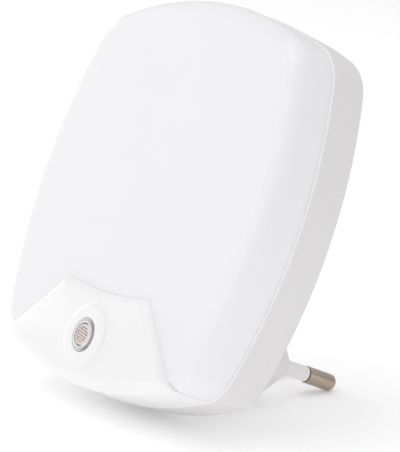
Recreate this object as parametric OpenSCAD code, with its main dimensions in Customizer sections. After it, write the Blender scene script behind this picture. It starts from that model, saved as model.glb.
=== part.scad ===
// Plug-in night light with a dusk sensor. Upright as it hangs in the socket: +Z up, the lit front
// faces -Y, and the origin is midway between the pins on the face of the plug boss.

/* [Front outline] */
// Overall width at the seam
body_w = 84.6; // [76:0.2:100]
// Overall height at the seam
body_h = 90.2; // [84:0.2:110]
// Radius of the bowed sides
side_bow_r = 106; // [90:1:180]
// Radius of the bowed top edge
top_bow_r = 89; // [80:1:160]
// Radius of the bowed bottom edge
bottom_bow_r = 85; // [78:1:150]
// Corner radius at the top
top_corner_r = 12; // [8:0.5:14]
// Corner radius at the bottom
bottom_corner_r = 9; // [8:0.5:11]
// Height of the middle of the body above the pins
plug_drop = 26.4; // [24:0.2:28]

/* [Depths] */
// Length of the plug boss behind the housing
boss_l = 23.5; // [20:0.2:30]
// Depth of the rear housing, from its back to the seam
housing_d = 10; // [9:0.5:16]
// Depth of the diffuser, from the seam to the edge of its front
cover_d = 10.4; // [9.6:0.2:16]
// How far the middle of the front stands proud of its edge
crown = 0.3; // [0.2:0.1:2]
// Depth of the rounding round the front
edge_d = 4.2; // [3:0.2:6]
// How far that rounding runs in from the sides
edge_inset = 3; // [2:0.2:6]
// How much further it runs in at the top
top_edge_more = 1.6; // [0:0.2:3]

/* [Walls] */
// Wall of the opal diffuser
cover_wall = 1.8; // [1.4:0.1:2.2]
// Wall of the rear housing
housing_wall = 2.4; // [2.2:0.1:3]
// Wall of the sensor bezel
bezel_wall = 1.6; // [1.2:0.1:1.8]
// Wall of the plug boss
boss_wall = 1.6; // [1.2:0.1:1.8]
// Inward lean of the housing's side wall
draft = 0.35; // [0.1:0.05:0.6]
// Inward lean of the diffuser's side wall
cover_draft = 0.15; // [0.05:0.05:0.4]
// How far the housing's rim stands out round the diffuser and the bezel
seam_step = 0.25; // [0.1:0.05:0.4]
// Rounding of the housing's back edge
back_edge_r = 1.2; // [0.6:0.1:2]
// Height of the locating lip in front of the seam
lip_h = 3.2; // [3:0.1:4]
// Thickness of the locating lip
lip_t = 1.2; // [1:0.1:1.6]
// Gap between the lip and the parts round it
lip_gap = 0.15; // [0.1:0.05:0.3]

/* [Sensor bezel] */
// Width across the two top points
bezel_top_w = 30.1; // [26:0.1:36]
// Width where the bezel meets the seam
bezel_foot_w = 62.8; // [56:0.2:64]
// Height of the bezel's hollow top edge below the middle of the body
bezel_top_drop = 23.6; // [22:0.05:25]
// Radius of that hollow top edge
bezel_top_r = 92; // [60:2:200]
// How far the bezel's flat stands in front of the diffuser's edge
bezel_rise = 1.7; // [1:0.1:2.5]
// Width of the sloped border along the top
bezel_top_slope = 2.6; // [1.5:0.1:3.5]
// Width of the sloped borders at the sides
bezel_side_slope = 0.9; // [0.5:0.1:2]
// Width of the rounding along the bottom
bezel_foot_slope = 1.9; // [1:0.1:3]
// Gap between the bezel and the diffuser
bezel_gap = 0.1; // [0.05:0.05:0.2]
// Radius of the raised disc round the window
disc_r = 7; // [6:0.1:8]
// Height of that disc
disc_h = 0.9; // [0.5:0.1:1.5]
// Rounding of the disc's rim
disc_round = 0.6; // [0.3:0.1:0.8]
// Height of the sensor's axis below the middle of the body
sensor_drop = 34; // [33.4:0.1:34.8]

/* [Sensor] */
// Radius of the clear window
window_r = 4; // [3.6:0.1:4.4]
// How far the window stands in front of the disc
window_proud = 0.25; // [0.05:0.05:0.4]
// Thickness of the window's front
window_t = 0.9; // [0.6:0.1:1.2]
// Radius of the window's rear flange
window_flange_r = 5; // [4.8:0.1:5.4]
// Thickness of that flange
window_flange_t = 1; // [0.8:0.1:1.4]
// Radius of the light sensor
sensor_r = 2.55; // [2.3:0.05:2.8]
// Width across the sensor's two flats
sensor_flat_w = 4.3; // [4:0.1:4.5]
// Thickness of the sensor
sensor_t = 2; // [1.6:0.1:2.4]
// Distance between the sensor's two leads
sensor_pitch = 3.4; // [3:0.1:3.6]

/* [Plug] */
// Width of the plug boss across its rounded ends
boss_w = 30; // [29:0.2:35]
// Height of the plug boss
boss_h = 13.7; // [13.5:0.1:14.5]
// Radius of its rounded ends
boss_end_r = 2; // [1:0.5:4]
// Thickness of the wall that carries the pins
boss_end_t = 3; // [2.5:0.1:4]
// Distance between the pins at the plug face
pin_pitch_face = 18.6; // [18:0.1:19.2]
// Distance between the pins at their tips
pin_pitch_tip = 17.5; // [17:0.1:18]
// Length of each pin from the plug face
pin_l = 19; // [18.5:0.1:19.5]
// Diameter of each pin's bare end
pin_d = 4; // [3.94:0.01:4.06]
// Radius of the rounding at each tip
pin_tip_r = 1.5; // [0.5:0.1:1.8]
// Length of the insulating sleeve outside the plug face
sleeve_l = 10; // [9.5:0.5:11]
// Outside diameter of the sleeve
sleeve_d = 3.6; // [3.4:0.05:3.65]
// Diameter of the pin inside the sleeve
pin_core_d = 2.8; // [2.4:0.1:3]
// Radius of the collar that holds each pin in
collar_r = 2.6; // [2.4:0.1:2.7]
// Thickness of that collar
collar_t = 1.5; // [1:0.1:2]
// Thickness of the pin retainer
retainer_t = 2; // [1.5:0.1:3]

/* [Circuit board] */
// Width of the board
board_w = 52; // [50:1:54]
// Height of the board
board_h = 52; // [51:1:54]
// Height of the board's middle below the middle of the body
board_drop = 11; // [10:0.2:12]
// Thickness of the board
board_t = 1.6; // [1:0.2:2]
// Height of the board's rear face above the housing's floor
post_h = 9.2; // [9:0.1:10]
// Radius of the board posts
post_r = 3; // [2.6:0.1:3.4]
// Distance between the upper board screws across
post_pitch_x = 37; // [36:0.5:38]
// Distance between the board screws up and down
post_pitch_z = 42; // [41:0.5:44]
// Shank radius of the small self-tapping screws
screw_r = 1.1; // [0.9:0.1:1.3]
// Head radius of those screws
screw_head_r = 2.2; // [2:0.1:2.4]
// Radius of the lead holes
lead_hole_r = 0.55; // [0.5:0.05:0.7]
// Radius of the component leads
lead_r = 0.35; // [0.25:0.05:0.4]
// Side of one surface-mounted lamp
led_w = 3.5; // [3:0.1:4]
// Height of one surface-mounted lamp
led_h = 1.9; // [1.4:0.1:2.2]

/* [Hidden] */
$fn = 48;

// Steps along each stretch of the outline
bow_steps = 8;
corner_steps = 8;
side_steps = 16;
round_steps = 6;
back_steps = 3;
crown_shares = [0.3, 0.55, 0.8];
quarter = 90;
bezel_top_steps = 12;
bezel_side_steps = 6;
bezel_foot_steps = 20;

// Planes across the depth
y_back = -boss_l;
y_seam = y_back - housing_d;
y_front = y_seam - cover_d;
y_floor = y_back - housing_wall;
y_board = y_floor - post_h;
y_board_front = y_board - board_t;
y_flat = y_front - bezel_rise;
y_disc = y_flat - disc_h;
y_window = y_disc - window_proud;

// Clearances that several pieces share
fit_gap = 0.05;
loose_gap = 0.15;
slot_gap = 0.25;

// How far each cut runs past the faces that it opens, and how deep pieces are rooted in a wall
past = 1;
root = 0.5;

sensor_y = y_window + window_t + loose_gap;
sensor_z = plug_drop - sensor_drop;
track_t = 0.1;
track_w = 0.35;
track_rows = 6;
lead_out = 1;
bend_r = 0.8;

// Centres of the three bows; the side bow's mirror image serves the other side
side_c = [body_w / 2 - side_bow_r, 0];
top_c = [0, body_h / 2 - top_bow_r];
bottom_c = [0, bottom_bow_r - body_h / 2];

// Centre of the circle of radius r that touches two bows from inside, on the right
function corner_centre(c1, r1, c2, r2, r) =
    let (a = r1 - r, b = r2 - r, d = c2 - c1, l = norm(d), u = d / l)
    let (x = (a * a - b * b + l * l) / (2 * l), y = sqrt(a * a - x * x), v = [-u[1], u[0]])
    let (p = c1 + u * x + v * y, q = c1 + u * x - v * y)
    p[0] > q[0] ? p : q;

function bearing(from, to) = atan2(to[1] - from[1], to[0] - from[0]);

// Points on an arc with their outward normals: [x, z, nx, nz], without the last one
function arc(c, r, a0, a1, steps) =
    [for (i = [0:steps - 1]) let (t = a0 + (a1 - a0) * i / steps)
        [c[0] + r * cos(t), c[1] + r * sin(t), cos(t), sin(t)]];

top_corner_c = corner_centre(side_c, side_bow_r, top_c, top_bow_r, top_corner_r);
bottom_corner_c = corner_centre(side_c, side_bow_r, bottom_c, bottom_bow_r, bottom_corner_r);

right_half = concat(
    arc(bottom_c, bottom_bow_r, -90, bearing(bottom_c, bottom_corner_c), bow_steps),
    arc(bottom_corner_c, bottom_corner_r,
        bearing(bottom_c, bottom_corner_c), bearing(side_c, bottom_corner_c), corner_steps),
    arc(side_c, side_bow_r,
        bearing(side_c, bottom_corner_c), bearing(side_c, top_corner_c), side_steps),
    arc(top_corner_c, top_corner_r,
        bearing(side_c, top_corner_c), bearing(top_c, top_corner_c), corner_steps),
    arc(top_c, top_bow_r, bearing(top_c, top_corner_c), 90, bow_steps),
    [[0, body_h / 2, 0, 1]]
);
outline = concat(
    right_half,
    [for (i = [len(right_half) - 2:-1:1]) let (p = right_half[i]) [-p[0], p[1], -p[2], p[3]]]
);

// The outline drawn in by an amount that may differ at the top
function drawn_in(inset, top_inset) =
    [for (p = outline)
        let (up = pow(max(p[3], 0), 2), a = inset * (1 - up) + top_inset * up)
        [p[0] - p[2] * a, p[1] - p[3] * a]];

function at_depth(points, y) = [for (p = points) [p[0], y, p[1] + plug_drop]];
function ring(y, inset, top_inset) = at_depth(drawn_in(inset, top_inset), y);
function shrunk(points, s, y) = at_depth([for (p = points) p * s], y);

// A closed surface through the rings, ended by a point at each side
module skin(first, rings, last, flip = false) {
    n = len(rings[0]);
    points = concat([first], [for (r = rings) each r], [last]);
    end = len(points) - 1;
    front_fan = [for (j = [0:n - 1]) [0, 1 + (j + 1) % n, 1 + j]];
    back_fan = [for (j = [0:n - 1]) [end, end - n + j, end - n + (j + 1) % n]];
    bands = [for (i = [0:len(rings) - 2], j = [0:n - 1])
        let (a = 1 + i * n + j, b = 1 + i * n + (j + 1) % n)
        each [[a, b, b + n], [a, b + n, a + n]]];
    faces = concat(front_fan, bands, back_fan);
    polyhedron(points, flip ? [for (f = faces) [f[2], f[1], f[0]]] : faces);
}

// The bezel's outline: a hollow top edge, two straight flanks and the body's own bottom bow
bezel_tip_z = -bezel_top_drop + bezel_top_r
    - sqrt(bezel_top_r * bezel_top_r - bezel_top_w * bezel_top_w / 4);
bezel_foot_z = bottom_c[1] - sqrt(pow(bottom_bow_r, 2) - pow(bezel_foot_w / 2, 2));
bezel_tip = [bezel_top_w / 2, bezel_tip_z];
bezel_foot = [bezel_foot_w / 2, bezel_foot_z];
bezel_top_c = [0, bezel_top_r - bezel_top_drop];
flank = (bezel_foot - bezel_tip) / norm(bezel_foot - bezel_tip);
flank_out = [-flank[1], flank[0]];

// Where a line that leaves a circle crosses it
function leaves(p, dir, c, r) =
    let (b = dir * (p - c), k = (p - c) * (p - c) - r * r)
    p + dir * (sqrt(b * b - k) - b);

function bezel_outline(top_in, side_in, foot_in) =
    let (start = bezel_tip - flank_out * side_in - flank * side_in)
    let (tip = leaves(start, flank, bezel_top_c, bezel_top_r + top_in))
    let (foot = leaves(tip, flank, bottom_c, bottom_bow_r - foot_in))
    let (ta = bearing(bezel_top_c, tip), fa = bearing(bottom_c, foot))
    concat(
        [for (i = [0:bezel_top_steps - 1])
            let (t = ta + (-180 - 2 * ta) * i / bezel_top_steps)
            bezel_top_c + (bezel_top_r + top_in) * [cos(t), sin(t)]],
        [for (i = [0:bezel_side_steps - 1])
            let (p = tip + (foot - tip) * i / bezel_side_steps) [-p[0], p[1]]],
        [for (i = [0:bezel_foot_steps - 1])
            let (t = -180 - fa + (2 * fa + 180) * i / bezel_foot_steps)
            bottom_c + (bottom_bow_r - foot_in) * [cos(t), sin(t)]],
        [for (i = [0:bezel_side_steps - 1]) foot + (tip - foot) * i / bezel_side_steps]
    );

function bezel_ring(y, top_in, side_in, foot_in) =
    at_depth(bezel_outline(top_in, side_in, foot_in), y);

// Places on the outline, as [x, z, bearing of the outward normal]
function side_place(z, side) =
    [side * (side_c[0] + sqrt(pow(side_bow_r, 2) - z * z)), z,
        side > 0 ? asin(z / side_bow_r) : 180 - asin(z / side_bow_r)];
function top_place(x) = [x, top_c[1] + sqrt(pow(top_bow_r, 2) - x * x), 90 - asin(x / top_bow_r)];
function foot_place(x) =
    [x, bottom_c[1] - sqrt(pow(bottom_bow_r, 2) - x * x), -90 + asin(x / bottom_bow_r)];

// The lip clears the diffuser's leaning wall by lip_gap at its front edge
lip_in = seam_step + cover_wall + cover_draft * lip_h / (cover_d - edge_d) + lip_gap;
// How far the diffuser and the bezel's foot have leant in where their front rounding starts
cover_in = seam_step + cover_draft;
lip_root = 2;

catch_w = 7;
catch_bite = 0.5;
catch_nose = 0.4;
catch_low = 1;
catch_high = 2.4;
cover_catches = [for (side = [-1, 1], z = [-14, 20]) side_place(z, side)];
top_catches = [for (x = [-18, 18]) top_place(x)];
bezel_catches = [for (x = [-14, 14]) foot_place(x)];

// Puts a piece on the outline at the seam, its +X pointing outwards
module on_outline(place) {
    translate([place[0], y_seam, plug_drop + place[1]]) rotate([0, -place[2], 0]) children();
}

// One barb on the inside of a wall, and the window in the lip that takes it
module barb(wall) {
    tip = -lip_in - catch_bite;
    translate([0, 0, -catch_w / 2]) linear_extrude(catch_w)
        polygon([[root - wall, -catch_low], [tip, -catch_low], [tip, -catch_low - catch_nose],
            [root - wall, -catch_high]]);
}
module catch_window() {
    translate([-lip_in - lip_t - past, -catch_high - slot_gap, -catch_w / 2 - slot_gap])
        cube([lip_t + 2 * past, catch_high - catch_low + 2 * slot_gap, catch_w + 2 * slot_gap]);
}

// ---- Plug ----
toe = atan((pin_pitch_face - pin_pitch_tip) / 2 / pin_l);

// Puts a piece on a pin's axis: its +Z runs out of the plug face
module on_pin(side) {
    translate([side * pin_pitch_face / 2, 0, 0]) rotate([0, 0, side * toe])
        rotate([-90, 0, 0]) children();
}

// Six-sided plug outline with 45 degree flanks and rounded ends, drawn in by a wall
module boss_outline(inset) {
    apex = boss_w / 2 - boss_end_r + (boss_end_r - inset) * sqrt(2);
    half_h = boss_h / 2 - inset;
    r = max(boss_end_r - inset, 0.3);
    c = apex - r * sqrt(2);
    end = [for (t = [-45:15:45]) [c + r * cos(t), r * sin(t)]];
    polygon(concat(
        [[apex - half_h, -half_h]], end, [[apex - half_h, half_h], [half_h - apex, half_h]],
        [for (i = [len(end) - 1:-1:0]) [-end[i][0], end[i][1]]], [[half_h - apex, -half_h]]
    ));
}

// Runs a flat outline back from a plane towards the socket: from y0 to y1
module run_y(y0, y1) {
    translate([0, y1, 0]) rotate([90, 0, 0]) linear_extrude(y1 - y0) children();
}

sleeve_hole_r = sleeve_d / 2 + fit_gap;
tail_r = 1.2;
tail_l = 3;
retainer_y = -boss_end_t - collar_t;
retainer_screw_x = 3.4;
retainer_post_r = 2;
retainer_screw_l = 2.6;
pilot_gap = fit_gap;

module boss() {
    difference() {
        run_y(y_back - housing_wall, 0) boss_outline(0);
        run_y(y_floor - past, -boss_end_t) boss_outline(boss_wall);
        for (side = [-1, 1]) {
            on_pin(side) translate([0, 0, -boss_end_t - past])
                cylinder(r = sleeve_hole_r, h = boss_end_t + 2 * past);
            on_pin(side) translate([0, 0, -boss_end_t - collar_t])
                cylinder(r = collar_r + loose_gap, h = collar_t);
        }
    }
}

// Puts a piece on a retainer screw's axis, its +Z pointing away from the plug face
module on_retainer_screw(side, y) {
    translate([side * retainer_screw_x, y, 0]) rotate([90, 0, 0]) children();
}
module retainer_posts() {
    for (side = [-1, 1]) on_retainer_screw(side, root - boss_end_t)
        cylinder(r = retainer_post_r, h = collar_t + root);
}
module retainer_pilots() {
    depth = retainer_screw_l + slot_gap;
    for (side = [-1, 1]) on_retainer_screw(side, retainer_y + depth)
        cylinder(r = screw_r + pilot_gap, h = depth + past);
}

// ---- Housing ----
// The lower posts keep their screw heads clear of the bezel's flanks, whose foot may move
upper_post_z = -board_drop + post_pitch_z / 2;
lower_post_z = -board_drop - post_pitch_z / 2;
head_clear = 0.45;
flank_x = bezel_tip[0] + flank[0] * (lower_post_z - bezel_tip[1]) / flank[1];
lower_post_x = flank_x - (bezel_wall + head_clear + screw_head_r) / flank_out[0];
post_places = [for (side = [-1, 1]) each [
    [side * lower_post_x, plug_drop + lower_post_z],
    [side * post_pitch_x / 2, plug_drop + upper_post_z],
]];
board_screw_l = 6;

module housing_pan() {
    back = [for (i = [0:back_steps])
        let (t = quarter * (1 - i / back_steps), in = draft + back_edge_r * (1 - cos(t)))
        ring(y_back - back_edge_r * (1 - sin(t)), in, in)];
    skin([0, y_back, plug_drop],
        concat(back, [
            ring(y_seam, 0, 0), ring(y_seam, housing_wall, housing_wall),
            ring(y_floor, housing_wall, housing_wall),
        ]),
        [0, y_floor, plug_drop], flip = true);
}

module lip() {
    translate([0, 0, plug_drop]) run_y(y_seam - lip_h, y_seam + lip_root) difference() {
        polygon(drawn_in(lip_in, lip_in));
        polygon(drawn_in(lip_in + lip_t, lip_in + lip_t));
    }
}

module rear_housing() {
    color("whitesmoke") {
        difference() {
            union() {
                difference() {
                    union() {
                        housing_pan();
                        lip();
                    }
                    run_y(y_floor - past, y_back + past) boss_outline(boss_wall);
                    for (p = concat(cover_catches, top_catches, bezel_catches))
                        on_outline(p) catch_window();
                }
                boss();
                retainer_posts();
                for (p = post_places) translate([p[0], y_back - housing_wall / 2, p[1]])
                    rotate([90, 0, 0])
                    cylinder(r = post_r, h = post_h + housing_wall / 2);
            }
            for (p = post_places) translate([p[0], y_board + board_screw_l + slot_gap, p[1]])
                rotate([90, 0, 0])
                cylinder(r = screw_r + pilot_gap, h = board_screw_l + slot_gap + past);
            retainer_pilots();
        }
    }
}

// ---- Diffuser ----
module diffuser_shell() {
    y_turn = y_front + edge_d;
    outer = [for (i = [0:round_steps]) let (t = quarter * (1 - i / round_steps))
        let (in = cover_in + edge_inset * (1 - cos(t)))
        ring(y_turn - edge_d * sin(t), in, in + top_edge_more * (1 - cos(t)))];
    inner_d = edge_d - cover_wall;
    inner = [for (i = [0:round_steps]) let (t = quarter * i / round_steps)
        let (in = cover_in + cover_wall + edge_inset * (1 - cos(t)))
        ring(y_turn - inner_d * sin(t), in, in + top_edge_more * (1 - cos(t)))];
    flat_in = cover_in + edge_inset;
    wall_in = seam_step + cover_wall;
    face = drawn_in(flat_in, flat_in + top_edge_more);
    crown_rings = [for (s = crown_shares) shrunk(face, s, y_front - crown * (1 - s * s))];
    skin([0, y_front - crown, plug_drop],
        concat(crown_rings, outer,
            [ring(y_seam, seam_step, seam_step), ring(y_seam, wall_in, wall_in)], inner),
        [0, y_front + cover_wall - crown / 2, plug_drop]);
}

module front_diffuser() {
    color("ghostwhite") {
        difference() {
            diffuser_shell();
            translate([0, 0, plug_drop]) run_y(y_front - crown - past, y_seam + past)
                polygon(bezel_outline(-bezel_gap, -bezel_gap, -cover_wall));
        }
        for (p = concat(cover_catches, top_catches)) on_outline(p) barb(cover_wall);
    }
}

// ---- Sensor bezel ----
module bezel_shell() {
    // Each row: share of the rise, and share of the slope that is left
    slope = [[1, 1], [0.8, 0.58], [0.45, 0.22], [0, 0]];
    outer = [for (s = slope) bezel_ring(y_front - bezel_rise * s[0],
        bezel_top_slope * s[1], bezel_side_slope * s[1],
        cover_in + bezel_foot_slope * s[1])];
    inner = [for (i = [len(slope) - 1:-1:0]) let (s = slope[i])
        bezel_ring(y_front - bezel_rise * s[0] + bezel_wall,
            bezel_wall + bezel_top_slope * s[1], bezel_wall + bezel_side_slope * s[1],
            cover_in + bezel_wall + bezel_foot_slope * s[1])];
    skin([0, y_flat, sensor_z],
        concat(outer,
            [bezel_ring(y_seam, 0, 0, seam_step),
                bezel_ring(y_seam, bezel_wall, bezel_wall, bezel_wall + seam_step)],
            inner),
        [0, y_flat + bezel_wall, sensor_z]);
}

// Raised disc with a rounded rim; +Z runs out of the front
module disc() {
    rim = [for (t = [0:15:90])
        [disc_r - disc_round * (1 - cos(t)), disc_h - disc_round * (1 - sin(t))]];
    rotate_extrude() polygon(concat([[0, -bezel_wall / 2], [disc_r, -bezel_wall / 2]], rim,
        [[0, disc_h]]));
}

// Sleeve behind the bezel's face that the window's flange slides into
collar_l = 3;

module sensor_bezel() {
    color("white") {
        difference() {
            union() {
                bezel_shell();
                translate([0, y_flat, sensor_z]) rotate([90, 0, 0]) disc();
                translate([0, y_flat + bezel_wall + collar_l, sensor_z]) rotate([90, 0, 0])
                    cylinder(r = window_flange_r + bezel_wall, h = collar_l + bezel_wall / 2);
            }
            // Room for the housing's lip behind the bezel's foot
            translate([0, 0, plug_drop]) run_y(y_seam - lip_h - slot_gap, y_seam + past)
                polygon(drawn_in(bezel_wall + fit_gap, bezel_wall + fit_gap));
            translate([0, y_seam, sensor_z]) rotate([90, 0, 0])
                cylinder(r = window_r + fit_gap, h = y_seam - y_disc + past);
            translate([0, y_flat + bezel_wall + collar_l + past, sensor_z]) rotate([90, 0, 0])
                cylinder(r = window_flange_r + fit_gap, h = collar_l + past);
        }
        for (p = bezel_catches) on_outline(p) barb(bezel_wall);
    }
}

// ---- Sensor ----
module sensor_window() {
    window_l = y_flat + bezel_wall - y_window;
    color("lightcyan", 0.5) translate([0, y_window, sensor_z]) rotate([-90, 0, 0])
        difference() {
            union() {
                cylinder(r = window_r, h = window_l + window_flange_t / 2);
                translate([0, 0, window_l]) cylinder(r = window_flange_r, h = window_flange_t);
            }
            translate([0, 0, window_t])
                cylinder(r = sensor_r + loose_gap, h = window_l + window_flange_t);
        }
}

module light_sensor() {
    color("ivory") translate([0, sensor_y + track_t, sensor_z]) rotate([-90, 0, 0])
        intersection() {
            cylinder(r = sensor_r, h = sensor_t);
            translate([-sensor_r, -sensor_flat_w / 2, 0])
                cube([2 * sensor_r, sensor_flat_w, sensor_t]);
        }
}

// The light-sensitive track: rows joined end to end into one zigzag
module sensor_track() {
    span = sensor_flat_w - 3 * track_w;
    pitch = span / (track_rows - 1);
    reach = function(z) sqrt(pow(sensor_r - 2 * track_w, 2) - z * z);
    color("indianred") translate([0, sensor_y + track_t, sensor_z]) rotate([90, 0, 0])
        linear_extrude(track_t) {
            for (i = [0:track_rows - 1]) let (z = -span / 2 + i * pitch)
                translate([-reach(z), z - track_w / 2]) square([2 * reach(z), track_w]);
            for (i = [0:track_rows - 2])
                let (z = -span / 2 + i * pitch, side = i % 2 == 0 ? 1 : -1)
                let (x = min(reach(z), reach(z + pitch)) - track_w)
                translate([side > 0 ? x : -x - track_w, z]) square([track_w, pitch]);
        }
}

module sensor_leads() {
    color("silver") for (side = [-1, 1])
        translate([side * sensor_pitch / 2, sensor_y + track_t + sensor_t, sensor_z])
        rotate([-90, 0, 0])
        cylinder(r = lead_r, h = y_board + lead_out - (sensor_y + track_t + sensor_t));
}

// ---- Pins ----
module contact_pin(side) {
    r = pin_d / 2;
    back = boss_end_t + collar_t;
    tip = [for (t = [0:15:90]) [r - pin_tip_r * (1 - cos(t)), pin_l - pin_tip_r * (1 - sin(t))]];
    color("rosybrown") on_pin(side) rotate_extrude() polygon(concat(
        [[0, -back - retainer_t - tail_l], [tail_r, -back - retainer_t - tail_l],
            [tail_r, -back], [collar_r, -back], [collar_r, -boss_end_t],
            [pin_core_d / 2, -boss_end_t], [pin_core_d / 2, sleeve_l], [r, sleeve_l]],
        tip, [[0, pin_l]]
    ));
}
module contact_pin_left() { contact_pin(-1); }
module contact_pin_right() { contact_pin(1); }

module pin_sleeve(side) {
    color("lightgray") on_pin(side) translate([0, 0, -boss_end_t]) difference() {
        cylinder(d = sleeve_d, h = boss_end_t + sleeve_l);
        translate([0, 0, -past])
            cylinder(r = pin_core_d / 2 + fit_gap / 2, h = boss_end_t + sleeve_l + 2 * past);
    }
}
module pin_sleeve_left() { pin_sleeve(-1); }
module pin_sleeve_right() { pin_sleeve(1); }

// Plate that traps both pin collars against the plug face's wall
module pin_retainer() {
    color("gainsboro") difference() {
        run_y(retainer_y - retainer_t, retainer_y) boss_outline(boss_wall + loose_gap);
        for (side = [-1, 1]) {
            on_pin(side) translate([0, 0, retainer_y - retainer_t - past])
                cylinder(r = tail_r + loose_gap, h = retainer_t + 2 * past);
            on_pin(side) translate([0, 0, retainer_y]) cylinder(r = collar_r + loose_gap, h = past);
            on_retainer_screw(side, 0) cylinder(r = screw_r + loose_gap, h = boss_l);
        }
    }
}

// Small pan-head self-tapping screw; the head's seat is at 0 and the shank runs along +Z
module screw(l) {
    head_h = 1.4;
    slot_w = 0.5;
    slot_l = 1.2 * screw_head_r;
    difference() {
        union() {
            cylinder(r = screw_r, h = l);
            translate([0, 0, -head_h]) cylinder(r = screw_head_r, h = head_h);
        }
        for (a = [0, 90]) rotate([0, 0, a])
            translate([-slot_l / 2, -slot_w / 2, -head_h - past])
            cube([slot_l, slot_w, past + head_h / 2]);
    }
}

module retainer_screws() {
    color("silver") for (side = [-1, 1])
        translate([side * retainer_screw_x, retainer_y - retainer_t, 0]) rotate([-90, 0, 0])
        screw(retainer_t + retainer_screw_l);
}

// Round tube along a route, a ring square to the run at each point
module wire(route, r, sides = 8) {
    last = len(route) - 1;
    dirs = [for (i = [0:last])
        let (d = route[min(i + 1, last)] - route[max(i - 1, 0)]) d / norm(d)];
    rings = [for (i = [0:last])
        let (u = cross(dirs[i], [0, 0, 1]), v = cross(dirs[i], u / norm(u)))
        [for (k = [0:sides - 1]) let (t = 360 * k / sides)
            route[i] + r * (cos(t) * u / norm(u) + sin(t) * v)]];
    skin(route[0], rings, route[last], flip = true);
}

// Insulated wire from a pin's tail to its pad on the board
wire_r = 0.8;
tail_y = retainer_y - retainer_t - tail_l;
tail_x = pin_pitch_face / 2 - tail_y * tan(toe);
pad_x = 16;
pad_z = 5;
// The wire's way, chosen by hand: shares of the distance across, along and up
lead_way = [
    [0, 0, 0], [0, 0.2, 0], [0, 0.45, 0], [0.06, 0.6, 0.1], [0.3, 0.72, 0.35],
    [0.75, 0.86, 0.7], [0.96, 0.93, 0.96], [1, 0.96, 1], [1, 1, 1],
];
module pin_lead(side) {
    from = [tail_x, tail_y - fit_gap, 0];
    to = [pad_x, y_board, pad_z];
    route = [for (w = lead_way) [for (k = [0:2]) from[k] + w[k] * (to[k] - from[k])]];
    color(side < 0 ? "steelblue" : "sienna")
        wire([for (p = route) [side * p[0], p[1], p[2]]], wire_r);
}
module pin_lead_left() { pin_lead(-1); }
module pin_lead_right() { pin_lead(1); }

// ---- Board and components ----
// Components sit on a grid of half a tenth of an inch: x, and height from the body's middle
grid = 1.27;
led_places = [for (x = [-12, 0, 12], z = [-11, 5]) grid * [x, z]];
diode_places = [for (x = [-11, -2], z = [-5, -9]) grid * [x, z]];
resistor_places = [for (p = [[-11, -12], [-2, -13], [9, -14]]) grid * p];
fusible_place = grid * [10, -7];
zener_place = grid * [-7, -27];
transistor_place = grid * [9, -27];
film_place = grid * [-4, 5];
can_place = grid * [8, 4];

axial_pitch = 8 * grid;
diode_r = 1.35;
diode_l = 5.2;
resistor_r = 1.2;
resistor_l = 6.3;
fusible_r = 2.1;
fusible_l = 10;
fusible_pitch = 11 * grid;
// How far each lead starts inside its component
lead_sink = 0.2;
zener_r = 0.9;
zener_l = 3.8;
zener_pitch = 6 * grid;
transistor_r = 2.3;
transistor_l = 4.6;
transistor_flat = 1.3;
transistor_lift = 2.2;
film_w = 18;
film_d = 7;
film_h = 12;
film_pitch = 12 * grid;
can_r = 4;
can_l = 11.5;
can_pitch = 3.5;
lead_reach = 1.6;

function pair(place, pitch, dz = 0) =
    [for (side = [-1, 1]) [place[0] + side * pitch / 2, place[1] + dz]];
lead_holes = concat(
    [for (p = diode_places) each pair(p, axial_pitch)],
    [for (p = resistor_places) each pair(p, axial_pitch)],
    pair(fusible_place, fusible_pitch),
    pair(zener_place, zener_pitch),
    [for (k = [-1, 0, 1]) transistor_place + [k * grid, 0]],
    pair(film_place, film_pitch, -film_h / 2 - lead_reach),
    pair(can_place, can_pitch, -can_l / 2 - lead_reach),
    pair([0, -sensor_drop], sensor_pitch)
);

// Puts a component on the board's rear face, its +Y pointing away from the board
module on_board(place) {
    translate([place[0], y_board, plug_drop + place[1]]) children();
}

module main_board() {
    chamfer = 3;
    half = [board_w / 2, board_h / 2];
    color("honeydew") difference() {
        translate([0, 0, plug_drop - board_drop]) run_y(y_board_front, y_board)
            polygon([
                [-half[0] + chamfer, -half[1]], [half[0] - chamfer, -half[1]],
                [half[0], -half[1] + chamfer], [half[0], half[1] - chamfer],
                [half[0] - chamfer, half[1]], [-half[0] + chamfer, half[1]],
                [-half[0], half[1] - chamfer], [-half[0], -half[1] + chamfer],
            ]);
        for (p = post_places) translate([p[0], y_board + past, p[1]]) rotate([90, 0, 0])
            cylinder(r = screw_r + slot_gap, h = board_t + 2 * past);
        for (p = lead_holes) on_board(p) translate([0, past, 0]) rotate([90, 0, 0])
            cylinder(r = lead_hole_r, h = board_t + 2 * past);
    }
}

module board_screws() {
    color("silver") for (p = post_places) translate([p[0], y_board_front, p[1]])
        rotate([-90, 0, 0]) screw(board_t + board_screw_l);
}

// White lamp chip: a square body with a round well over the die
module leds() {
    well_r = 0.36 * led_w;
    led_l = 0.8 * led_w;
    well_floor = 0.6 * led_h;
    color("lemonchiffon") for (p = led_places)
        translate([p[0], y_board_front, plug_drop + p[1]]) rotate([90, 0, 0]) difference() {
            translate([-led_w / 2, -led_l / 2, 0]) cube([led_w, led_l, led_h]);
            translate([0, 0, well_floor]) cylinder(r = well_r, h = led_h);
        }
}

// A lead that runs out, turns and goes through the board; the turn's far end is at x = out
module bent_lead(from, out, height) {
    translate([from, height, 0]) rotate([0, 90, 0]) cylinder(r = lead_r, h = out - bend_r - from);
    translate([out - bend_r, height - bend_r, 0]) rotate_extrude(angle = 90)
        translate([bend_r, 0]) circle(r = lead_r);
    translate([out, height - bend_r, 0]) rotate([90, 0, 0])
        cylinder(r = lead_r, h = height - bend_r + board_t + lead_out);
}

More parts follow.
